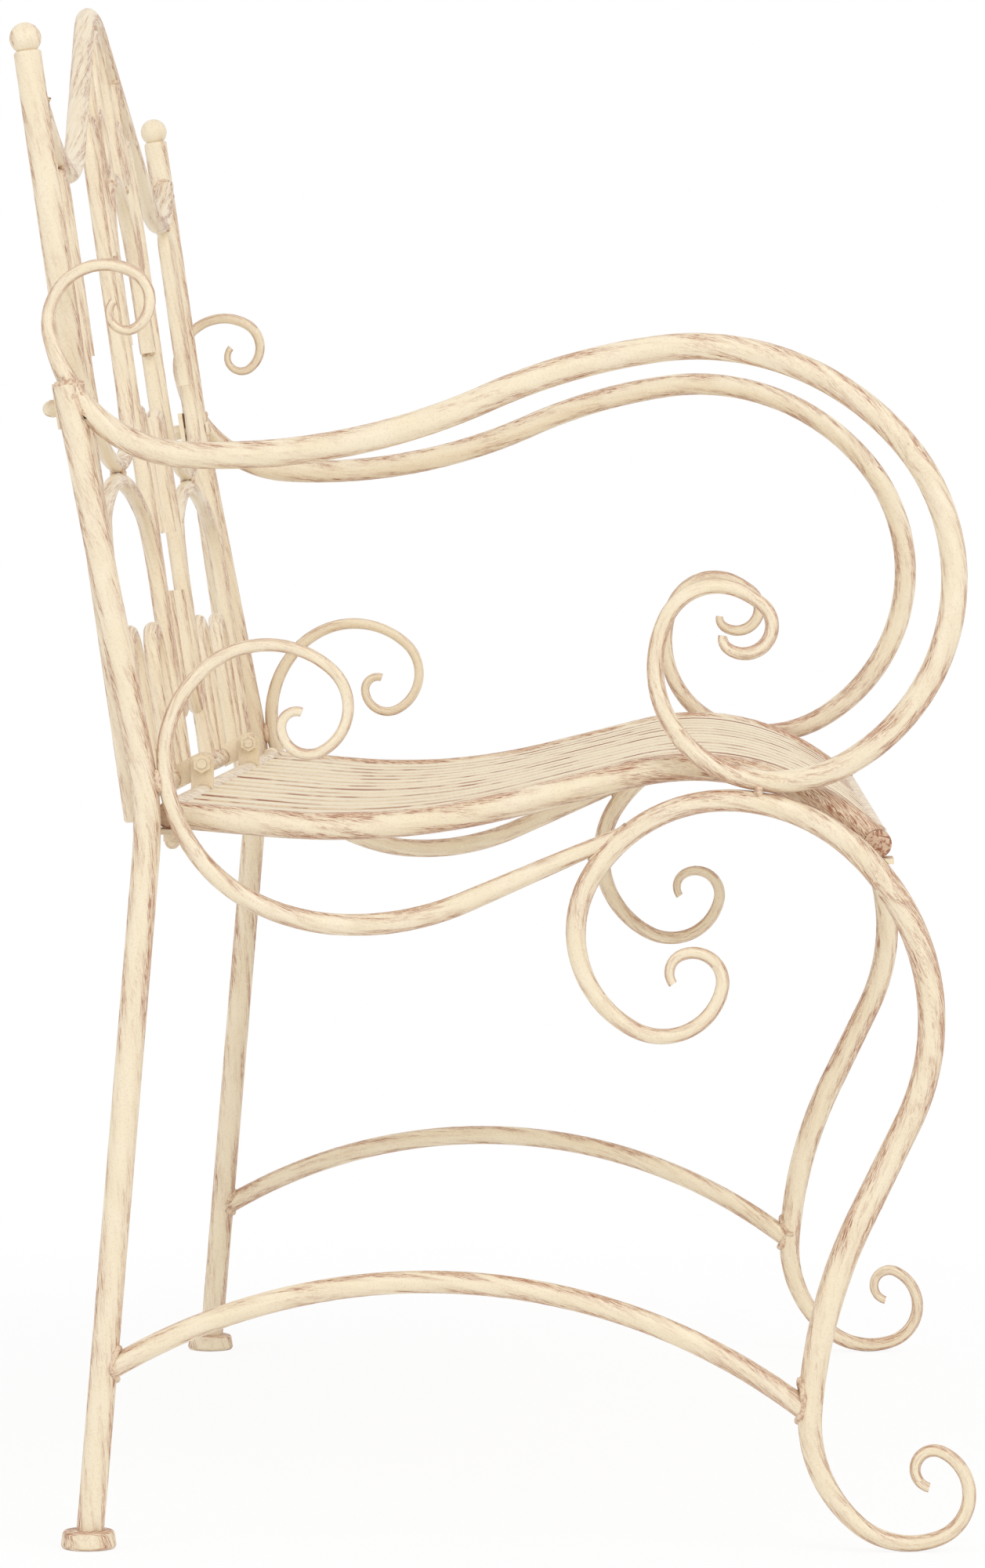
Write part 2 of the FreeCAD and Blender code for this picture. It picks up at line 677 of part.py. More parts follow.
arch_crown, arch_rise = basket(arch_half, size("shoulder_bend"))
arch_line = both_ways((arch_x, size("arch_height")), [
    (arch_crown, -crown_angle),
    (size("shoulder_bend"), crown_angle - 90),
    (0, size("arch_height") - arch_rise),
])
arch = cut(tube(arch_line, back_plane, "rod_diameter"), bottom_cutter)
opposite(keep(arch, "left_lower_arch", rod_place), "right_lower_arch")

# upper scrolls: a basket that sits on the arch, with a hook at each end
basket_v = size("arch_height") + 2 * rod_r + gap
hook_x = post_x - size("hook_reach")
basket_half = hook_x - arch_x
basket_crown, basket_rise = basket(basket_half, size("basket_bend"))
hook_inner = arch_x - basket_half
inner_hook = (hook_inner - arch_inner) / 2
outer_hook = size("outer_hook_radius")
hook_touch = size("top_rail_diameter") / 2 + rod_r + gap
hook_ceiling = rail_over(hook_x)


def hook_clear(level):
    spot = (hook_x, level - outer_hook)
    hook = wire_of(run(spot, 90, [(outer_hook, 180)]), back_plane)
    return hook.distToShape(rail_wire)[0] > hook_touch and level < hook_ceiling


outer_top = nearest(basket_v, size("crest_height"), hook_clear)
basket_middle = (arch_x, basket_v)
scroll_out = [
    (basket_crown, crown_angle),
    (size("basket_bend"), 90 - crown_angle),
    (0, outer_top - outer_hook - basket_v - basket_rise),
    (outer_hook, 180),
    (0, size("outer_hook_drop")),
]
scroll_in = [
    (basket_crown, -crown_angle),
    (size("basket_bend"), crown_angle - 90),
    (0, size("inner_hook_top") - inner_hook - basket_v - basket_rise),
    (inner_hook, 180),
    (0, size("inner_hook_drop")),
]
upper_line = reverse(run(basket_middle, 180, scroll_in)) + run(basket_middle, 0, scroll_out)
upper_scroll = tube(upper_line, back_plane, "rod_diameter")
opposite(keep(upper_scroll, "left_upper_scroll", rod_place), "right_upper_scroll")

# hairpins standing on the bottom rail inside the arches
pins = []
for place in range(2):
    pin_x = arch_x - size("hairpin_reach") + place * size("hairpin_pitch")
    pin_line = both_ways((pin_x, size("hairpin_height")), [
        (size("hairpin_radius"), -90),
        (0, size("hairpin_height") - size("hairpin_radius")),
    ])
    pin = cut(tube(pin_line, back_plane, "rod_diameter"), bottom_cutter)
    pin.Placement = rod_place
    pins.append(pin)
group("left_hairpins", pins)
group("right_hairpins", [mirrored(pin) for pin in pins])

# middle of the back: an arch between the uprights carries a hairpin under the crest
centre_half = upright_x - 2 * rod_r - gap
centre_corner = centre_half * 0.75
centre_crown, centre_rise = basket(centre_half, centre_corner)
centre_line = both_ways((0, size("centre_arch_height")), [
    (centre_crown, -crown_angle),
    (centre_corner, crown_angle - 90),
    (0, size("centre_arch_drop") - centre_rise),
])
centre_arch = tube(centre_line, back_plane, "rod_diameter")
centre_cutter = tube(centre_line, back_plane, "rod_diameter", grow=True)
keep(centre_arch, "centre_arch", rod_place)
crest_pin_r = size("crest_pin_radius")
crest_pin_top = size("crest_height") - size("top_rail_diameter") / 2 - rod_r - gap
crest_pin_foot = size("centre_arch_height") - centre_crown
crest_pin_foot = crest_pin_foot + math.sqrt(centre_crown ** 2 - crest_pin_r ** 2)
crest_line = both_ways((0, crest_pin_top), [
    (crest_pin_r, -90),
    (0, crest_pin_top - crest_pin_r - crest_pin_foot),
])
crest_pin = cut(tube(crest_line, back_plane, "rod_diameter"), centre_cutter)
keep(crest_pin, "crest_hairpin", rod_place)
ring_half = (upright_x - crest_pin_r) / 2
crest_ring = doc.addObject("Part::Torus", "CrestRing")
crest_ring.Radius1 = ring_half - 2 * rod_r - gap
crest_ring.setExpression("Radius2", "Sizes.rod_diameter / 2")
ring_spot = Vec(crest_pin_r + ring_half, 0, size("centre_arch_height") + size("ring_rise"))
ring_place = FreeCAD.Placement(ring_spot, FreeCAD.Rotation(Vec(1, 0, 0), 90))
opposite(keep(crest_ring, "left_crest_ring", rod_place.multiply(ring_place)), "right_crest_ring")

# long scrolls against the uprights, hooked towards the middle at both ends
long_hook = size("long_hook_radius")
long_middle = (size("long_hook_top") + size("long_hook_foot")) / 2
long_straight = (size("long_hook_top") - size("long_hook_foot")) / 2 - long_hook
long_end = [(0, long_straight), (long_hook, 180), (0, size("long_hook_drop"))]
long_start = [(0, long_straight), (long_hook, -180), (0, size("long_hook_drop"))]
long_line = reverse(run((centre_half, long_middle), -90, long_start))
long_line = long_line + run((centre_half, long_middle), 90, long_end)
long_scroll = tube(long_line, back_plane, "rod_diameter")
opposite(keep(long_scroll, "left_centre_scroll", rod_place), "right_centre_scroll")

# Seat. Its profile starts at the rear rail, dips, rises and rolls over to the front rail.
rail_z = size("seat_rail_height")
rear_tab_top = rail_z - seat_r - gap
rear_leg_reach = reach_at(rear_leg_line, rear_tab_top)
rear_rail_reach = rear_leg_reach + size("rear_rail_lead")
rear_rail_spot = (rear_rail_reach, rail_z)
seat_tilt = -5.0
dish_turn = 19.0
waterfall_turn = -59.0


def seat_profile(start, flat, offset=0.0):
    # the seat's curve from back to front, or one that runs a little above or below it
    return run(start, seat_tilt, [
        (0, flat),
        (size("dish_radius") - offset, dish_turn),
        (0, size("seat_rise")),
        (size("waterfall_radius") + offset, waterfall_turn),
    ])


def seat_clear(flat):
    end = seat_profile(rear_rail_spot, flat)[-1][2]
    leg_reach = reach_at(front_leg_line, end[1] - seat_r - gap - thick / 2)
    return end[0] < leg_reach + size("front_rail_lead")


# the flat part at the back brings the front rail over its tabs on the front legs
seat_flat = nearest(0.0, size("leg_crown_reach"), seat_clear)
side_rail_line = seat_profile(rear_rail_spot, seat_flat)
front_rail_spot = side_rail_line[-1][2]
front_rail_reach = front_rail_spot[0]
front_tab_top = front_rail_spot[1] - seat_r - gap
seat_end = half - size("front_leg_diameter") / 2 - size("seat_side_gap")
side_rail_x = seat_end - seat_r
seat_bolt_x = side_rail_x - seat_r - head_r - size("head_room")


def world(spot, across=0.0):
    # a point of the side drawing set into the finished bench
    return Vec(across, shift - spot[0], spot[1])


def seat_rail(spot, label):
    blank = cylinder("seat_rail_diameter", 2 * seat_end, world(spot, -seat_end), along_x)
    tools = []
    for side in (1, -1):
        tools.append(drill(hole_r, 4 * seat_r, world((spot[0], spot[1] - 2 * seat_r),
                                                     side * seat_bolt_x), upright_turn))
        tools.append(drill(spot_r, seat_r, world((spot[0], spot[1] + seat_r - spot_depth),
                                                 side * seat_bolt_x), upright_turn))
    keep(cut(blank, *tools), label)
    return cylinder("seat_rail_diameter", 2 * seat_end, world(spot, -seat_end), along_x, grow=True)


rear_rail_cutter = seat_rail(rear_rail_spot, "seat_rear_rail")
front_rail_cutter = seat_rail(front_rail_spot, "seat_front_rail")
side_rail_tube = tube(side_rail_line, side_plane, "seat_rail_diameter")
side_rail_tube.Placement = FreeCAD.Placement(Vec(side_rail_x, shift, 0), FreeCAD.Rotation())
side_rail = cut(side_rail_tube, rear_rail_cutter, front_rail_cutter)
opposite(keep(side_rail, "left_seat_side_rail"), "right_seat_side_rail")

# slats: flat strips bent to the same profile, let in between the two rails
slat_t = size("slat_thickness")
slat_lift = seat_r - size("slat_drop") - slat_t / 2
tilt = math.radians(seat_tilt)


def slat_side(offset):
    # one face of a slat, above or below its middle line
    start = (rear_rail_reach - offset * math.sin(tilt), rail_z + slat_lift + offset * math.cos(tilt))
    return seat_profile(start, seat_flat, offset)


slat_upper = slat_side(slat_t / 2)
slat_lower = slat_side(-slat_t / 2)
slat_edges = wire_of(slat_upper, side_plane).Edges + wire_of(slat_lower, side_plane).Edges
for start, end in ((slat_upper[0][0], slat_lower[0][0]), (slat_upper[-1][2], slat_lower[-1][2])):
    slat_edges.append(Part.LineSegment(side_point(start), side_point(end)).toShape())
slat_shape = Part.Wire(Part.__sortEdges__(slat_edges))
slat_pitch = 2 * side_rail_x / (SLAT_COUNT + 1)
for number in range(SLAT_COUNT):
    outline = doc.addObject("Part::Feature", "SlatOutline")
    outline.Shape = slat_shape
    strip = doc.addObject("Part::Extrusion", "Strip")
    strip.Base = outline
    strip.DirMode = "Custom"
    strip.Dir = Vec(1, 0, 0)
    strip.Solid = True
    strip.setExpression("LengthFwd", "Sizes.slat_width")
    strip_x = side_rail_x - slat_pitch * (number + 1) - size("slat_width") / 2
    strip.Placement = FreeCAD.Placement(Vec(strip_x, shift, 0), FreeCAD.Rotation())
    keep(cut(strip, rear_rail_cutter, front_rail_cutter), "seat_slat_%02d" % (number + 1))

# Tabs welded to the side frames: two under the seat rails, one behind each post.
frame_leg_cutter = tube(rear_leg_line, side_plane, "leg_diameter", grow=True)
frame_front_cutter = tube(leg_line, side_plane, "front_leg_diameter", leg_taper, grow=True)
frame_arm_cutter = tube(arm_line, side_plane, "arm_diameter", arm_taper, grow=True)
for cutter in (frame_leg_cutter, frame_front_cutter, frame_arm_cutter):
    cutter.Placement = side_place


def plate(length, width, thickness, place):
    slab = doc.addObject("Part::Box", "Plate")
    slab.Length = length
    slab.Width = width
    slab.Height = thickness
    slab.Placement = place
    return slab


tab_half = size("tab_width") / 2
tab_inner = seat_bolt_x - tab_half
flat = FreeCAD.Rotation()
rear_tab_width = rear_rail_reach + tab_half - rear_leg_reach
rear_tab_outer = half - size("seat_scroll_diameter") / 2 - 2 * gap
rear_tab_blank = plate(rear_tab_outer - tab_inner, rear_tab_width, thick, FreeCAD.Placement(
    world((rear_rail_reach + tab_half, rear_tab_top - thick), tab_inner), flat))
rear_tab_hole = drill(hole_r, 4 * thick, world((rear_rail_reach, rear_tab_top - 2 * thick),
                                               seat_bolt_x), upright_turn)
rear_tab = cut(rear_tab_blank, rear_tab_hole, frame_leg_cutter)
group("rear_seat_tabs", [rear_tab, mirrored(rear_tab)])
front_tab_blank = plate(half - tab_inner, size("tab_width"), thick, FreeCAD.Placement(
    world((front_rail_reach + tab_half, front_tab_top - thick), tab_inner), flat))
front_tab_hole = drill(hole_r, 4 * thick, world((front_rail_reach, front_tab_top - 2 * thick),
                                                seat_bolt_x), upright_turn)
front_tab = cut(front_tab_blank, front_tab_hole, frame_front_cutter)
group("front_seat_tabs", [front_tab, mirrored(front_tab)])
back_tab_y = post_r + gap
back_tab_blank = plate(half - post_x + tab_half, thick, size("back_tab_height"), back_place.multiply(
    FreeCAD.Placement(Vec(post_x - tab_half, back_tab_y, bolt_v - size("back_tab_height") / 2), flat)))
back_tab_hole = drill(hole_r, 4 * thick, Vec(0, 0, 0), along_y)
back_tab_hole.Placement = back_place.multiply(
    FreeCAD.Placement(Vec(post_x, back_tab_y - thick, bolt_v), along_y))
back_tab = cut(back_tab_blank, back_tab_hole, frame_leg_cutter, frame_arm_cutter)
opposite(keep(back_tab, "left_back_tab"), "right_back_tab")

# Clips that tie the rear seat rail to the bottom rail of the back.
clip_half = size("nut_across_flats") * 0.7
clip_spot = (rear_rail_reach, rail_z + size("clip_rise"))
base_lead = rod_place.Base
base_spot = (shift - base_lead.y, base_lead.z)
world_bottom_cutter = cylinder("bottom_rail_diameter", 2 * post_x, world(base_spot, -post_x),
                               along_x, grow=True)
seat_clips = []
back_clips = []
for clip_x in (size("clip_reach"), -size("clip_reach")):
    stand = plate(thick, 2 * clip_half, size("clip_rise") - seat_r + thick, FreeCAD.Placement(
        world((clip_spot[0] + clip_half, rail_z + seat_r - thick), clip_x - thick), flat))
    stand_round = drill(clip_half, thick, world(clip_spot, clip_x - thick), along_x)
    stand_blank = doc.addObject("Part::Fuse", "ClipBlank")
    stand_blank.Base = stand
    stand_blank.Tool = stand_round
    clip_hole = drill(hole_r, 4 * thick, world(clip_spot, clip_x - 2 * thick), along_x)
    seat_clips.append(cut(stand_blank, clip_hole, rear_rail_cutter))
    arm_length = math.dist(clip_spot, base_spot)
    arm_slope = math.atan2(clip_spot[1] - base_spot[1], clip_spot[0] - base_spot[0])
    arm_turn = FreeCAD.Rotation(Vec(1, 0, 0), 180 - math.degrees(arm_slope))
    corner = arm_turn.multVec(Vec(0, 0, -clip_half))
    link = plate(thick, arm_length, 2 * clip_half,
                 FreeCAD.Placement(world(base_spot, clip_x).add(corner), arm_turn))
    link_round = drill(clip_half, thick, world(clip_spot, clip_x), along_x)
    link_blank = doc.addObject("Part::Fuse", "ClipBlank")
    link_blank.Base = link
    link_blank.Tool = link_round
    back_clips.append(cut(link_blank, clip_hole, world_bottom_cutter, rear_rail_cutter))
group("seat_clips", seat_clips)
group("back_clips", back_clips)

# Fasteners: domed bolts, acorn nuts and plain hex nuts, all one thread size.
head_h = size("head_height")
dome_r = (head_r ** 2 + head_h ** 2) / (2 * head_h)
nut_h = size("nut_height")
bolt_tail = nut_h + size("bolt_end")


def domed_bolt(grip, place):
    # head on top, shank pointing down, under-head face at the origin
    dome = doc.addObject("Part::Sphere", "Dome")
    dome.Radius = dome_r
    dome.Angle1 = math.degrees(math.asin((dome_r - head_h) / dome_r))
    dome.Placement = FreeCAD.Placement(Vec(0, 0, head_h - dome_r), FreeCAD.Rotation())
    shank = doc.addObject("Part::Cylinder", "Shank")
    shank.setExpression("Radius", "Sizes.bolt_diameter / 2")
    shank.Height = grip + bolt_tail
    shank.Placement = FreeCAD.Placement(Vec(0, 0, -grip - bolt_tail), FreeCAD.Rotation())
    bolt = doc.addObject("Part::Fuse", "Bolt")
    bolt.Base = dome
    bolt.Tool = shank
    bolt.Placement = place
    return bolt


def nut(place, domed):
    # seating face at the origin, body pointing down
    hexagon = doc.addObject("Part::Prism", "Hexagon")
    hexagon.Polygon = 6
    hexagon.setExpression("Circumradius", "Sizes.nut_across_flats / 2 / cos(30)")
    hexagon.setExpression("Height", "Sizes.nut_height")
    body = hexagon
    depth = 2 * nut_h
    if domed:
        cap = doc.addObject("Part::Sphere", "Cap")
        cap.setExpression("Radius", "Sizes.nut_across_flats * 0.46")
        cap.Angle1 = 0
        cap.Placement = FreeCAD.Placement(Vec(0, 0, nut_h), FreeCAD.Rotation())
        body = doc.addObject("Part::Fuse", "Acorn")
        body.Base = hexagon
        body.Tool = cap
        depth = bolt_tail + size("bolt_clearance")
    bore = drill(size("bolt_diameter") / 2 + size("bolt_clearance") / 4, depth, Vec(0, 0, 0), upright_turn)
    whole = cut(body, bore)
    whole.Placement = place.multiply(FreeCAD.Placement(Vec(0, 0, 0), down_turn))
    return whole


seat_bolts = []
acorns = []
seat_grip = 2 * seat_r - spot_depth + gap + thick
for spot in (rear_rail_spot, front_rail_spot):
    for side in (1, -1):
        top = world((spot[0], spot[1] + seat_r - spot_depth), side * seat_bolt_x)
        seat_bolts.append(domed_bolt(seat_grip, FreeCAD.Placement(top, flat)))
        under = top.sub(Vec(0, 0, seat_grip))
        acorns.append(nut(FreeCAD.Placement(under, flat), True))
group("seat_bolts", seat_bolts)
back_bolts = []
face_front = FreeCAD.Rotation(Vec(1, 0, 0), 90)
back_grip = 2 * post_r - spot_depth + gap + thick
for side in (1, -1):
    head_spot = FreeCAD.Placement(Vec(side * post_x, spot_depth - post_r, bolt_v), face_front)
    nut_spot = FreeCAD.Placement(Vec(side * post_x, spot_depth - post_r + back_grip, bolt_v), face_front)
    back_bolts.append(domed_bolt(back_grip, back_place.multiply(head_spot)))
    acorns.append(nut(back_place.multiply(nut_spot), True))
group("back_bolts", back_bolts)
group("acorn_nuts", acorns)
clip_bolts = []
clip_nuts = []
for clip_x in (size("clip_reach"), -size("clip_reach")):
    clip_bolts.append(domed_bolt(2 * thick, FreeCAD.Placement(world(clip_spot, clip_x + thick), along_x)))
    clip_nuts.append(nut(FreeCAD.Placement(world(clip_spot, clip_x - thick), along_x), False))
group("clip_bolts", clip_bolts)
group("clip_nuts", clip_nuts)

# Check every piece, then write one file per node.
doc.recompute()
for thing in doc.Objects:
    if "Invalid" in thing.State or "Error" in thing.State:
        raise RuntimeError("%s did not build: %s" % (thing.Label, thing.State))
for thing in nodes:
    if thing.Shape.isNull() or not thing.Shape.isValid():
        raise RuntimeError("%s is not a sound solid" % thing.Label)
    thing.Shape.exportStep("parts/%s.step" % thing.Label)
print(len(nodes), "pieces written")
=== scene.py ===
# %% [markdown]
# # A wrought iron garden bench
# The bench is a real welded object: two scrolled side frames, a bolted-on back and a
# slatted seat. The solid pieces come from the CAD model, so this lesson is about what
# the model leaves out: the antique cream paint with its rubbed brown strokes, the weld
# beads, the light and the camera.
# %% Load the CAD pieces
import math

import bmesh
import bpy
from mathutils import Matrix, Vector
from mathutils.bvhtree import BVHTree


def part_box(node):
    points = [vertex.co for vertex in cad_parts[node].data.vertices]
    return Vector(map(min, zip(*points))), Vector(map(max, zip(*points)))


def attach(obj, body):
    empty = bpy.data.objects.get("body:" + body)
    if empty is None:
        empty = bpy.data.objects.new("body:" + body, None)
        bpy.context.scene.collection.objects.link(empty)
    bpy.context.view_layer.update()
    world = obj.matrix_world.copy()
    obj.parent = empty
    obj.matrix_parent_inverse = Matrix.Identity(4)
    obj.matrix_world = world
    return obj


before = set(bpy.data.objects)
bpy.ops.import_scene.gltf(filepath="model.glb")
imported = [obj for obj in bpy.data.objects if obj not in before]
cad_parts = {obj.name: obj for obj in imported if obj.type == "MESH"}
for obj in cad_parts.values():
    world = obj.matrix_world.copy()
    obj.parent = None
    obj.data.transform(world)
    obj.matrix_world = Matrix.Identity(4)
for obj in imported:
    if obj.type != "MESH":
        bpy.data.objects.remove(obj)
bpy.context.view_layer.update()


def rounded(values):
    return [round(value, 3) for value in values]


print("CAD pieces:", len(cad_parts))

# %% [markdown]
# ## Where things are
# Every place used below is worked out from the CAD pieces, so the lesson still fits if
# the bench is built in another size. The side frames are flat, and so is the back. Their
# planes matter because a brush dragged over a flat frame marks the faces it meets first.
# %% Measure the bench
SIDEWAYS = Vector((1, 0, 0))


def span(node):
    low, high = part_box(node)
    return Vector(low), Vector(high)


def middle(node):
    low, high = span(node)
    return (low + high) / 2


FRAME_X = middle("left_rear_leg").x
FOOT_Y = middle("foot_caps").y
SEAT_FRONT_Y = span("seat_front_rail")[0].y
slat_low, slat_high = span("seat_slat_01")
SLAT_HALF = (slat_high.x - slat_low.x) / 2
SLAT_PITCH = abs(middle("seat_slat_01").x - middle("seat_slat_02").x)
upright_low, upright_high = span("left_upright")
upright_thick = upright_high.x - upright_low.x
upright_lean = upright_high.y - upright_low.y - upright_thick
PANEL_UP = Vector((0, upright_lean, upright_high.z - upright_low.z)).normalized()
PANEL_OUT = SIDEWAYS.cross(PANEL_UP)
print("side frames stand at x =", round(FRAME_X, 4), "either way")
print("the back leans", round(math.degrees(math.acos(PANEL_UP.z)), 2), "degrees")
print("slats every", round(SLAT_PITCH * 1000, 1), "mm")

# %% [markdown]
# ## A short way to write shader sums
# Shader nodes are easier to read as ordinary arithmetic. A Strand is one output of a
# node; adding or multiplying two of them adds a Math node behind the scenes. The forms
# with an r in front are for sums that start with a plain number, such as 1 - mask.
# %% Strands


class Strand:
    def __init__(self, recipe, socket):
        self.recipe = recipe
        self.socket = socket

    def __add__(self, other):
        return self.recipe.sum("ADD", self, other)

    def __radd__(self, other):
        return self.recipe.sum("ADD", other, self)

    def __sub__(self, other):
        return self.recipe.sum("SUBTRACT", self, other)

    def __rsub__(self, other):
        return self.recipe.sum("SUBTRACT", other, self)

    def __mul__(self, other):
        return self.recipe.sum("MULTIPLY", self, other)

    def __rmul__(self, other):
        return self.recipe.sum("MULTIPLY", other, self)

    def __abs__(self):
        return self.recipe.sum("ABSOLUTE", self, 0.0)


print("strands can be added, subtracted, multiplied and made positive")

# %% [markdown]
# ## One way to add any other node
# A Recipe holds the node tree of one material or world. Its node method adds a node by
# type, sets its settings first and then its inputs, which may be numbers or strands. The
# shorter methods below it only save typing for the nodes that are used most.
# %% Recipes


class Recipe:
    def __init__(self, owner):
        owner.use_nodes = True
        self.owner = owner
        self.tree = owner.node_tree

    def node(self, kind, settings=None, inputs=None, out=0):
        made = self.tree.nodes.new(kind)
        for key, value in (settings or {}).items():
            setattr(made, key, value)
        for key, value in (inputs or {}).items():
            self.feed(made.inputs[key], value)
        if isinstance(out, tuple):
            return [Strand(self, made.outputs[name]) for name in out]
        return Strand(self, made.outputs[out])

    def feed(self, socket, value):
        if isinstance(value, Strand):
            self.tree.links.new(value.socket, socket)
        else:
            socket.default_value = value

    def sum(self, operation, first, second):
        return self.node("ShaderNodeMath", {"operation": operation}, {0: first, 1: second})

    def smooth(self, value, low, high):
        return self.node("ShaderNodeMapRange", {"interpolation_type": "SMOOTHSTEP"},
                         {"Value": value, "From Min": low, "From Max": high})

    def mix(self, amount, first, second):
        return self.node("ShaderNodeMix", {"data_type": "RGBA"},
                         {0: amount, 6: first, 7: second}, 2)

    def join(self, x, y, z):
        return self.node("ShaderNodeCombineXYZ", {}, {"X": x, "Y": y, "Z": z})

    def noise(self, vector, scale, detail):
        return self.node("ShaderNodeTexNoise", {},
                         {"Vector": vector, "Scale": scale, "Detail": detail})

    def dot(self, vector, other):
        return self.node("ShaderNodeVectorMath", {"operation": "DOT_PRODUCT"},
                         {0: vector, 1: other}, "Value")


print("recipes can add any node")

# %% [markdown]
# ## The rubbed cream paint
# The real bench was sprayed cream and then dragged with a nearly dry brush of reddish
# brown. Four layers make that up: cream that is a little uneven, a soft rosy haze where
# the brush pressed, thin dark hairs where its bristles ran, and fine specks where they
# only touched the grit of the coat. The brown is a little rougher than the cream.
# Patches and grains are counted per metre.
# %% Mix the paint
CREAM = (0.81, 0.69, 0.48, 1)
PALE_CREAM = (0.875, 0.78, 0.605, 1)
ROSE_BROWN = (0.55, 0.245, 0.125, 1)
DEEP_BROWN = (0.28, 0.07, 0.022, 1)
CREAM_PATCHES = 34.0
GRAINS = 760.0
HAZE_COVER = 0.3
HAIR_COVER = 0.88
SPECK_COVER = 0.1
CREAM_ROUGH, BROWN_ROUGHER = 0.4, 0.2
GRIT_STRENGTH, GRIT_DEPTH = 0.16, 0.0006


def start_paint(name):
    paint = Recipe(bpy.data.materials.new(name))
    paint.shader = paint.tree.nodes["Principled BSDF"]
    paint.place = paint.node("ShaderNodeTexCoord", out="Object")
    paint.facing = paint.node("ShaderNodeNewGeometry", out="Normal")
    parts = paint.node("ShaderNodeSeparateXYZ", {}, {0: paint.place}, ("X", "Y", "Z"))
    paint.x, paint.y, paint.z = parts
    return paint


def lay_on(paint, hairs, haze, deep=CREAM, pale=PALE_CREAM):
    cream = paint.mix(paint.noise(paint.place, CREAM_PATCHES, 3.0), deep, pale)
    hazed = paint.mix(haze * HAZE_COVER, cream, ROSE_BROWN)
    sand = paint.noise(paint.place, GRAINS, 3.0)
    specks = paint.smooth(sand, 0.5, 0.68) * (haze * HAZE_COVER + SPECK_COVER)
    brown = paint.sum("MAXIMUM", hairs * HAIR_COVER, specks)
    bump = paint.node("ShaderNodeBump", {}, {
        "Strength": GRIT_STRENGTH, "Distance": GRIT_DEPTH, "Height": sand - hairs * 0.5})
    paint.feed(paint.shader.inputs["Base Color"], paint.mix(brown, hazed, DEEP_BROWN))
    paint.feed(paint.shader.inputs["Roughness"], hairs * BROWN_ROUGHER + CREAM_ROUGH)
    paint.feed(paint.shader.inputs["Normal"], bump)
    return paint.owner


print("cream", CREAM[:3], "under brown", DEEP_BROWN[:3])

# %% [markdown]
# ## Strokes of the brush
# A noise stretched along one axis would make straight strokes, but the rods bend. So the
# strokes run on two things that suit any bent round rod: how far round the rod a point
# lies, and where it lies in the plane of its frame. The first is multiplied far more than
# the second, so each fleck of noise becomes a long thin hair. A second, coarser noise of
# the same kind gives the bands in which the brush pressed.
# %% Brush strokes
STROKE_SLANT = 0.13
HAIRS_ACROSS, HAIRS_ALONG = 3600, 150
BANDS_ACROSS, BANDS_ALONG = 330, 28


def brush(paint, across, along, up):
    slant = across + (along + up) * STROKE_SLANT
    fine = paint.join(slant * HAIRS_ACROSS, along * HAIRS_ALONG, up * HAIRS_ALONG)
    broad = paint.join(slant * BANDS_ACROSS, along * BANDS_ALONG, up * BANDS_ALONG)
    hairs = paint.smooth(paint.noise(fine, 1.0, 3.0), 0.45, 0.61)
    bands = paint.smooth(paint.noise(broad, 1.0, 2.0), 0.27, 0.73)
    return hairs, bands


print("hairs about", round(1000 / HAIRS_ACROSS, 2), "mm wide")
print("bands about", round(1000 / BANDS_ACROSS, 2), "mm wide")

# %% [markdown]
# ## Paint for the bent rods
# How far round a rod a point lies can be read from the way its surface faces: the angle
# between that and the facing of the flat frame, counted to both sides. One recipe serves
# the side frames and the back. The side frames were rubbed on their rims, and the back on
# its front and rear faces. Both have more brown towards the front of the bench and on
# surfaces that look up or down. The side rails of the seat are also worn at the front.
# %% Rod paint
ROD_RADIUS = 0.007
UPWARD = (0, 0, 1)
RUB_ALL, RUB_LEVEL, RUB_TOP = 0.3, 0.2, 0.15
RUB_PATCHES, PATCH_DEPTH = 16.0, 0.62
REAR_RUB, FRONT_RUB, FRONT_REACH = 0.88, 0.4, 0.2
WORN_MORE, WORN_FRONT, WORN_REACH = 1.3, 0.8, 0.09


def rod_paint(name, face, in_plane, on_faces=False, worn_front=False):
    paint = start_paint(name)
    turned = paint.dot(paint.facing, face)
    upward = paint.dot(paint.facing, UPWARD)
    half = paint.sum("SIGN", paint.dot(paint.facing, in_plane), 0.0)
    round_rod = paint.sum("ARCCOSINE", turned, 0.0) * half * ROD_RADIUS
    hairs, bands = brush(paint, round_rod, paint.y + paint.x * 0.6, paint.z)
    flat = paint.smooth(abs(turned), 0.5, 1.0)
    rubbed = flat if on_faces else 1.0 - flat
    reached = rubbed + upward * RUB_TOP + abs(upward) * RUB_LEVEL + RUB_ALL
    patches = paint.smooth(paint.noise(paint.place, RUB_PATCHES, 3.0), 0.34, 0.62)
    front = paint.smooth(0.0 - paint.y, 0.0, FRONT_REACH)
    haze = bands * (patches * PATCH_DEPTH + (1 - PATCH_DEPTH))
    haze = haze * reached * (front * FRONT_RUB + REAR_RUB)
    if worn_front:
        worn = paint.smooth(SEAT_FRONT_Y + WORN_REACH - paint.y, 0.0, WORN_REACH)
        haze = haze * WORN_MORE + worn * WORN_FRONT
    return lay_on(paint, hairs * paint.smooth(haze, 0.0, 0.6), haze)


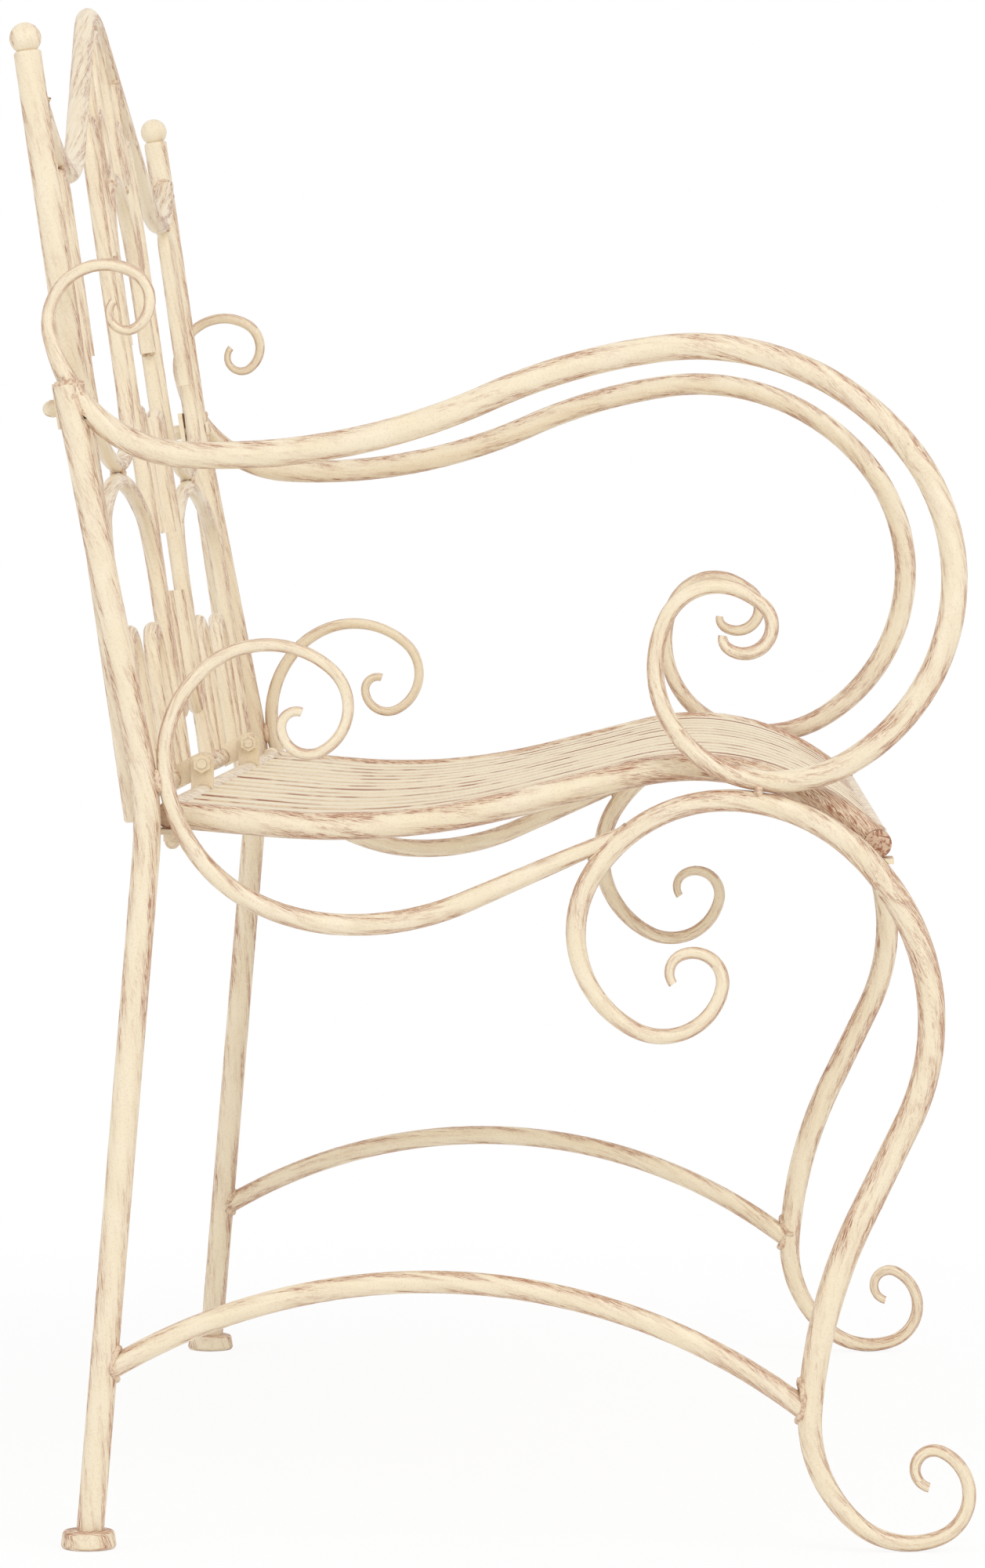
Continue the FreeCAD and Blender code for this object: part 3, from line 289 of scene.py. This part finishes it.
IN_FRAME = (0, 0.6, 0.8)
IN_PANEL = tuple(SIDEWAYS * 0.8 + PANEL_UP * 0.6)
frame_paint = rod_paint("frame_paint", tuple(SIDEWAYS), IN_FRAME)
side_rail_paint = rod_paint("side_rail_paint", tuple(SIDEWAYS), IN_FRAME, worn_front=True)
panel_paint = rod_paint("panel_paint", tuple(PANEL_OUT), IN_PANEL, on_faces=True)
print("rod paints:", [paint.name for paint in (frame_paint, side_rail_paint, panel_paint)])

# %% [markdown]
# ## Paint for the slats
# The slats are flat strips side by side, painted after they were welded in. The brush ran
# from back to front and left its colour on the strips' edges, and the worn front edge of
# the seat is darkest. The brown towards each strip's edges is also painted shade of the
# gaps between the strips. Wrapping x at the slats' spacing gives every strip the same
# edges, while the streaks between them follow the unwrapped x, so that no two strips are
# alike.
# %% Slat paint
SEAT_CREAM = (0.81, 0.685, 0.46, 1)
SEAT_PALE = (0.87, 0.755, 0.54, 1)
STREAKS_ACROSS, STREAKS_ALONG = 560, 34
PRESS_ACROSS, PRESS_ALONG = 21, 8
WORN_EDGE = 0.05


def slat_paint():
    paint = start_paint("seat_paint")
    across = paint.node("ShaderNodeMath", {"operation": "WRAP"}, {0: paint.x, 1: SLAT_PITCH, 2: 0.0})
    from_middle = abs(across - SLAT_PITCH / 2)
    grain = paint.join(paint.x * STREAKS_ACROSS, paint.y * STREAKS_ALONG, paint.z * STREAKS_ALONG)
    streak = paint.noise(grain, 1.0, 4.0)
    press = paint.join(paint.x * PRESS_ACROSS, paint.y * PRESS_ALONG, 0.0)
    zones = paint.smooth(paint.noise(press, 1.0, 2.0), 0.35, 0.65)
    # browner towards each strip's edges: partly the brush's colour, partly painted shade of the gaps
    # between slats
    edge_brown_and_gap_shade = paint.smooth(from_middle, SLAT_HALF * 0.3, SLAT_HALF)
    worn = paint.smooth(SEAT_FRONT_Y + WORN_EDGE - paint.y, 0.0, WORN_EDGE)
    haze = edge_brown_and_gap_shade * (zones * 0.8 + 0.2) + zones * 0.15 + worn * 0.4
    streaks = paint.smooth(streak + haze * 0.1, 0.54, 0.66) * (haze * 0.8 + 0.1)
    return lay_on(paint, streaks, haze * 0.45, SEAT_CREAM, SEAT_PALE)


seat_paint = slat_paint()
print("slat paint:", seat_paint.name)

# %% [markdown]
# ## Paint for the straight rails
# The long rails run across the bench, so their strokes do too. They are straight, so the
# place round them is a plain angle. At their ends, where they are bolted to the side
# frames, they are scuffed all over.
# %% Rail paint
SCUFF_GRAINS = 520.0
SCUFF_START, SCUFF_FULL = 0.05, 0.02


def rail_paint():
    paint = start_paint("rail_paint")
    rearward = paint.dot(paint.facing, (0, 1, 0))
    round_rail = paint.sum("ARCTAN2", rearward, paint.dot(paint.facing, UPWARD))
    hairs, bands = brush(paint, round_rail * ROD_RADIUS, paint.x, 0.0)
    ends = paint.smooth(abs(paint.x), FRAME_X - SCUFF_START, FRAME_X - SCUFF_FULL)
    scuffs = paint.smooth(paint.noise(paint.place, SCUFF_GRAINS, 3.0), 0.44, 0.64) * ends
    haze = bands * 0.7 + ends * 0.6
    strokes = hairs * paint.smooth(haze, 0.0, 0.8)
    return lay_on(paint, paint.sum("MAXIMUM", strokes, scuffs), haze)


cross_paint = rail_paint()
print("rail paint:", cross_paint.name)

# %% [markdown]
# ## Put the paint on the pieces
# Each group of pieces gets the paint whose strokes run its own way: the side frames
# along their curves, the back in its own plane, the slats from back to front.
# %% Paint every piece
PANEL_WORDS = ("back_post", "ball", "upright", "arch", "upper_scroll", "hairpin", "crest",
               "centre", "back_top", "back_tab", "back_bolts")
CROSS_RAILS = ("seat_rear_rail", "seat_front_rail", "back_bottom_rail")
for name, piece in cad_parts.items():
    finish = frame_paint
    if any(word in name for word in PANEL_WORDS):
        finish = panel_paint
    if "slat" in name:
        finish = seat_paint
    if "seat_side_rail" in name:
        finish = side_rail_paint
    if name in CROSS_RAILS:
        finish = cross_paint
    piece.data.materials.clear()
    piece.data.materials.append(finish)
print("painted", len(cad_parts), "pieces")

# %% [markdown]
# ## Find the welded joints
# The rods are welded where they meet. The joints could be typed in one by one, but then
# they would be wrong for a bench of another size. Instead, each point of one piece is
# asked how near the other piece lies: the points that almost touch it form one group for
# each joint.
# %% Joint finder
CLOSE = 0.0006
APART = 0.035


def skin_of(node):
    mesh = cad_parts[node].data
    return BVHTree.FromPolygons([v.co for v in mesh.vertices], [p.vertices for p in mesh.polygons])


def meetings(rod, skin):
    spots = []
    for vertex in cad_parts[rod].data.vertices:
        if skin.find_nearest(vertex.co, CLOSE)[0] is None:
            continue
        home = next((spot for spot in spots if (spot[0].co - vertex.co).length < APART), None)
        if home is None:
            spots.append([vertex])
        else:
            home.append(vertex)
    return spots


def average(points):
    return sum(points, Vector()) / len(points)


print("points nearer than", round(CLOSE * 1000, 2), "mm count as a joint")

# %% [markdown]
# ## Draw a bead
# Beads are left as they cooled, as lumpy cords. A bevelled curve would be smooth, so the
# cord is built hoop by hoop along a path, with its own radius at each step. Each hoop is
# joined to the next from the pair of points that lie nearest, so that no face twists.
# %% Bead tool
SIDES = 8


def swing(side, other, angle):
    return side * math.cos(angle) + other * math.sin(angle)


def rope(mesh, path, radii, closed):
    count = len(path)
    hoops = []
    for step in range(count):
        before = path[step - 1] if closed or step else path[step]
        after = path[(step + 1) % count] if closed or step + 1 < count else path[step]
        ahead = (after - before).normalized()
        side = ahead.orthogonal().normalized()
        other = ahead.cross(side)
        angles = [turn * math.tau / SIDES for turn in range(SIDES)]
        hoops.append([mesh.verts.new(path[step] + swing(side, other, angle) * radii[step])
                      for angle in angles])
    for step in range(count if closed else count - 1):
        here, there = hoops[step], hoops[(step + 1) % count]
        shift = min(range(SIDES), key=lambda turn: (here[0].co - there[turn].co).length)
        for turn in range(SIDES):
            following = turn + 1
            mesh.faces.new((here[turn], here[following % SIDES],
                            there[(following + shift) % SIDES], there[(turn + shift) % SIDES]))
    if not closed:
        mesh.faces.new(hoops[0])
        mesh.faces.new(hoops[-1])


print("beads have", SIDES, "sides")

# %% [markdown]
# ## The welds' own paint
# Cream paint pooled thinly on the beads and the brush caught on every ripple, so the
# welds are browner than the rods beside them.
# %% Weld paint
RIPPLES = 420.0
WELD_PATCHES = 60.0


def bead_paint():
    paint = start_paint("weld_paint")
    ripples = paint.smooth(paint.noise(paint.place, RIPPLES, 4.0), 0.46, 0.62)
    haze = paint.noise(paint.place, WELD_PATCHES, 2.0) * 0.8 + 0.5
    return lay_on(paint, ripples * 0.5 + 0.04, haze)


weld_paint = bead_paint()


def place_bead(name, mesh):
    bmesh.ops.recalc_face_normals(mesh, faces=mesh.faces)
    for face in mesh.faces:
        face.smooth = True
    data = bpy.data.meshes.new(name)
    mesh.to_mesh(data)
    mesh.free()
    data.materials.append(weld_paint)
    bead = bpy.data.objects.new(name, data)
    bpy.context.collection.objects.link(bead)
    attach(bead, "root")


print("weld paint:", weld_paint.name)

# %% [markdown]
# ## Rings round rods that end on another piece
# A torus would not do here, because the rod ends on a round tube and the bead has to climb
# over it. So a circle is drawn round the rod's end, and a ray is sent from each of its
# points along the rod; where the ray meets the other piece is where the bead lies.
# %% Ring tool
RING_STEPS = 36
RAY_START = 0.015


def stem_of(rod, spot):
    # the points that share a face with the joint, but lie further up the rod
    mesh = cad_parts[rod].data
    ends = {vertex.index for vertex in spot}
    touching = [face.vertices for face in mesh.polygons if not ends.isdisjoint(face.vertices)]
    return [mesh.vertices[i].co for face in touching for i in face if i not in ends]


def weld_rings(rod, tube, thick):
    skin = skin_of(tube)
    mesh = bmesh.new()
    spots = meetings(rod, skin)
    for spot in spots:
        end = average([vertex.co for vertex in spot])
        axis = (end - average(stem_of(rod, spot))).normalized()
        side = axis.orthogonal().normalized()
        other = axis.cross(side)
        over = [(vertex.co - end).dot(side) for vertex in spot]
        along = [(vertex.co - end).dot(other) for vertex in spot]
        centre = end + side * (min(over) + max(over)) / 2 + other * (min(along) + max(along)) / 2
        wide = (max(over) - min(over) + max(along) - min(along)) / 4
        path, radii = [], []
        for step in range(RING_STEPS):
            angle = step * math.tau / RING_STEPS
            start = centre + swing(side, other, angle) * wide
            hit = skin.ray_cast(start - axis * RAY_START, axis, RAY_START * 2)[0]
            path.append(hit or skin.find_nearest(start)[0])
            lump = 1 + 0.2 * math.sin(5 * angle + end.z * 90) + 0.12 * math.sin(11 * angle)
            radii.append(thick * lump)
        rope(mesh, path, radii, closed=True)
        print(rod, "on", tube, "ring of", round(wide * 2000, 1), "mm at", rounded(centre))
    place_bead("weld_ring_" + rod + "_" + tube, mesh)
    return len(spots)


print("rings have", RING_STEPS, "steps")

# %% [markdown]
# ## Lay the rings
# Every rod that ends on another piece gets a ring. Thick rods took more weld metal than
# thin ones, and the fine tip of the seat scroll took least. Each size is half the bead's
# thickness, in metres.
# %% Weld rings
HANDS = ("left_", "right_")
FRAME_RINGS = (("stretcher", "rear_leg", 0.0019), ("stretcher", "front_leg", 0.0019),
               ("seat_scroll", "front_leg", 0.001), ("rear_leg", "arm_scroll", 0.002))
POST_RING, UPRIGHT_RING, HAIRPIN_RING = 0.0018, 0.0015, 0.0014
rings = 0
for hand in HANDS:
    for rod, tube, thick in FRAME_RINGS:
        rings += weld_rings(hand + rod, hand + tube, thick)
    rings += weld_rings(hand + "upright", "back_top_rail", UPRIGHT_RING)
    rings += weld_rings(hand + "upright", "back_bottom_rail", UPRIGHT_RING)
    rings += weld_rings(hand + "lower_arch", "back_bottom_rail", UPRIGHT_RING)
    rings += weld_rings(hand + "hairpins", "back_bottom_rail", HAIRPIN_RING)
    rings += weld_rings("back_top_rail", hand + "back_post", POST_RING)
    rings += weld_rings("back_bottom_rail", hand + "back_post", POST_RING)
rings += weld_rings("crest_hairpin", "centre_arch", HAIRPIN_RING)
print("weld rings:", rings)

# %% [markdown]
# ## A rounded rim on the rear legs
# The top of each rear leg is cut square beside the arm, and on the real bench its sharp
# corner is drowned in weld metal. A bead as thick as two fifths of the leg's own radius,
# laid flush with its side, rounds the corner and leaves the leg itself alone.
# %% Weld rims
RIM_SHARE = 0.4
LOOKS_UP = 0.9
LEVEL = 0.0001


def weld_rim(leg):
    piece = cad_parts[leg].data
    lids = [face for face in piece.polygons if face.normal.z > LOOKS_UP]
    lid = max(lids, key=lambda face: face.center.z)
    outward = lid.normal.cross(SIDEWAYS).normalized()
    outward = outward if outward.y > 0 else -outward
    level = [v.co for v in piece.vertices if abs((v.co - lid.center).dot(lid.normal)) < LEVEL]
    back = max(level, key=lambda place: place.dot(outward))
    low, high = span(leg)
    wide = (high.x - low.x) / 2
    thick = wide * RIM_SHARE
    centre = Vector((middle(leg).x, back.y, back.z)) - outward * wide
    path, radii = [], []
    for step in range(RING_STEPS):
        angle = step * math.tau / RING_STEPS
        path.append(centre + swing(SIDEWAYS, outward, angle) * (wide - thick))
        radii.append(thick * (1 + 0.08 * math.sin(4 * angle) + 0.05 * math.sin(9 * angle)))
    mesh = bmesh.new()
    rope(mesh, path, radii, closed=True)
    place_bead("weld_rim_" + leg, mesh)
    print("rim of", round(wide * 2000, 1), "mm at", rounded(centre))


for hand in HANDS:
    weld_rim(hand + "rear_leg")

# %% [markdown]
# ## Short seams where two rods lie side by side
# Where rods only touch, a short bead was run into the groove on each face. The points
# that almost touch form a thin strip: its point farthest from the middle gives the seam's
# direction, and the frame's own facing says which side is out. Where the strip lies
# across the groove, as under the arm, the seam is turned by a quarter.
# %% Seam tool
SEAM_STEPS = 9
SEAM_OUT = 1.5


def weld_seams(first, second, face, thick, long, quarter_turn=False):
    skin = skin_of(second)
    mesh = bmesh.new()
    spots = meetings(first, skin)
    for spot in spots:
        heart = average([vertex.co for vertex in spot])
        run = max((vertex.co - heart for vertex in spot), key=lambda reach: reach.length)
        run = (run - face * run.dot(face)).normalized()
        if quarter_turn:
            run = face.cross(run)
        for out in (1, -1):
            path, radii = [], []
            for step in range(SEAM_STEPS):
                share = step / (SEAM_STEPS - 1) * 2 - 1
                lump = 1 + 0.16 * math.sin(step * 2.4 + heart.y * 70)
                path.append(heart + run * (share * long / 2) + face * (out * thick * SEAM_OUT))
                radii.append(thick * lump * math.sqrt(max(1.04 - share * share, 0.02)))
            rope(mesh, path, radii, closed=False)
        print(first, "beside", second, "seam at", rounded(heart))
    place_bead("weld_seam_" + first + "_" + second, mesh)
    return len(spots)


print("seams have", SEAM_STEPS, "steps")

# %% [markdown]
# ## Lay the seams
# The side frames have seams where the arm rests on the front leg and where the seat
# scroll leans on the rear leg. In the back, the scrolls, arches and rings are held by
# seams to each other, the uprights, the posts or the top rail. Each row ends with half
# the bead's thickness and its length, in metres.
# %% Weld seams
seams = 0
for hand in HANDS:
    seams += weld_seams(hand + "arm_scroll", hand + "front_leg", SIDEWAYS, 0.0026, 0.010, True)
    seams += weld_seams(hand + "seat_scroll", hand + "rear_leg", SIDEWAYS, 0.0022, 0.014)
    seams += weld_seams(hand + "lower_arch", hand + "upper_scroll", PANEL_OUT, 0.002, 0.009)
    seams += weld_seams(hand + "upper_scroll", "back_top_rail", PANEL_OUT, 0.002, 0.010)
    for rod in ("centre_scroll", "upper_scroll", "lower_arch", "crest_ring"):
        seams += weld_seams(hand + rod, hand + "upright", PANEL_OUT, 0.0018, 0.009)
    seams += weld_seams("centre_arch", hand + "upright", PANEL_OUT, 0.0018, 0.009)
    seams += weld_seams(hand + "lower_arch", hand + "back_post", PANEL_OUT, 0.0018, 0.009)
    seams += weld_seams(hand + "crest_ring", "crest_hairpin", PANEL_OUT, 0.0016, 0.008)
seams += weld_seams("crest_hairpin", "back_top_rail", PANEL_OUT, 0.0018, 0.010)
print("weld seams:", seams, "joints with a bead on each face")

# %% [markdown]
# ## Floor
# The photo has a plain white ground. The floor is a real pale surface that keeps the
# bench's shadow, and a share of plain white is mixed in for whatever looks straight at
# it, so that no extra light is needed to make it white. Away from the bench the share
# grows until the floor and the sky behind it meet without a line.
# %% Floor
FLOOR_REACH = 30.0
SHADE_KEPT = 0.14
SHADE_NEAR, SHADE_GONE = 0.7, 1.6
CHALK = (0.95, 0.95, 0.95, 1)
WHITE = (1, 1, 1, 1)
corners = [(-FLOOR_REACH, -FLOOR_REACH, 0), (FLOOR_REACH, -FLOOR_REACH, 0),
           (FLOOR_REACH, FLOOR_REACH, 0), (-FLOOR_REACH, FLOOR_REACH, 0)]
floor_mesh = bpy.data.meshes.new("floor")
floor_mesh.from_pydata(corners, [], [(0, 1, 2, 3)])
floor = bpy.data.objects.new("floor", floor_mesh)
bpy.context.collection.objects.link(floor)


def looked_at(recipe):
    camera, glossy, through = recipe.node("ShaderNodeLightPath", {}, {}, (
        "Is Camera Ray", "Is Glossy Ray", "Is Transmission Ray"))
    return recipe.sum("MINIMUM", camera + glossy + through, 1.0)


ground = Recipe(bpy.data.materials.new("floor_white"))
ground.tree.nodes.remove(ground.tree.nodes["Principled BSDF"])
chalk = ground.node("ShaderNodeBsdfDiffuse", {}, {"Color": CHALK})
white = ground.node("ShaderNodeEmission", {}, {"Color": WHITE, "Strength": 1.0})
place = ground.node("ShaderNodeTexCoord", out="Object")
away = ground.node("ShaderNodeVectorMath", {"operation": "LENGTH"}, {0: place}, "Value")
whiter = ground.smooth(away, SHADE_NEAR, SHADE_GONE) * SHADE_KEPT + (1 - SHADE_KEPT)
shown = ground.node("ShaderNodeMixShader", {}, {0: looked_at(ground) * whiter, 1: chalk, 2: white})
ground.feed(ground.tree.nodes["Material Output"].inputs["Surface"], shown)
floor_mesh.materials.append(ground.owner)
print("floor reaches", FLOOR_REACH, "m each way")

# %% [markdown]
# ## Light
# A white studio lights the bench from everywhere, so shadows are faint. The world gives
# that even light, and two large soft lamps from the camera's side give the rods a little
# roundness. Their level is set so that the cream paint shows about as it was mixed.
# %% Light
WORLD_LIGHT = 0.86
LAMP_SIZE = 4.0
LAMP_AIM = Vector((0, 0, 0.5))
studio = Recipe(bpy.data.worlds.new("studio"))
bpy.context.scene.world = studio.owner
studio.tree.nodes.clear()
even = studio.node("ShaderNodeBackground", {}, {"Color": WHITE, "Strength": WORLD_LIGHT})
plain = studio.node("ShaderNodeBackground", {}, {"Color": WHITE, "Strength": 1.0})
both = studio.node("ShaderNodeMixShader", {}, {0: looked_at(studio), 1: even, 2: plain})
studio.node("ShaderNodeOutputWorld", {}, {"Surface": both}, ())


def soft_lamp(name, stand, power):
    lamp = bpy.data.lights.new(name, "AREA")
    lamp.energy = power
    lamp.size = LAMP_SIZE
    holder = bpy.data.objects.new(name, lamp)
    holder.location = stand
    holder.rotation_euler = (LAMP_AIM - Vector(stand)).to_track_quat("-Z", "Y").to_euler()
    bpy.context.collection.objects.link(holder)


soft_lamp("key", (-5.0, -3.0, 5.0), 130)
soft_lamp("fill", (-5.0, 5.0, 3.0), 50)
print("lamps:", [lamp.name for lamp in bpy.data.lights])

# %% [markdown]
# ## Camera
# The photo was taken from far off the end of the bench with a long lens, at about arm
# height, so the near frame looks almost flat and the far frame only a fifth smaller. The
# numbers are places in the photo: where the near foot stands and where the lines that run
# along the bench would meet. The distance is counted in widths between the frames.
# %% Camera
METRES_PER_PIXEL = 0.00045
PICTURE_WIDE, PICTURE_HIGH = 1257, 2000
FOOT_COLUMN, FLOOR_ROW = 110, 1982
VANISH_COLUMN, VANISH_ROW = 902, 685
WIDTHS_AWAY = 4.05
SENSOR = 36.0
FARTHEST = 200


def in_photo(x, column, row):
    # metres for a pixel, counted in the plane of the near frame
    return Vector((x, FOOT_Y - (column - FOOT_COLUMN) * METRES_PER_PIXEL,
                   (FLOOR_ROW - row) * METRES_PER_PIXEL))


distance = WIDTHS_AWAY * 2 * FRAME_X
eye = in_photo(-FRAME_X - distance, VANISH_COLUMN, VANISH_ROW)
aim = in_photo(-FRAME_X, PICTURE_WIDE / 2, PICTURE_HIGH / 2)
camera_data = bpy.data.cameras.new("camera")
camera_data.sensor_width = SENSOR
camera_data.lens = distance / (PICTURE_HIGH * METRES_PER_PIXEL) * SENSOR
camera_data.clip_end = FARTHEST
camera = bpy.data.objects.new("camera", camera_data)
camera.location = eye
camera.rotation_euler = (aim - eye).to_track_quat("-Z", "Y").to_euler()
bpy.context.collection.objects.link(camera)
bpy.context.scene.camera = camera
print("camera at", rounded(eye), "lens", round(camera_data.lens, 1))

# %% [markdown]
# ## Finish
# The plain colours need no film look, so the Standard view is used.
# %% Finish
bpy.context.scene.view_settings.view_transform = "Standard"
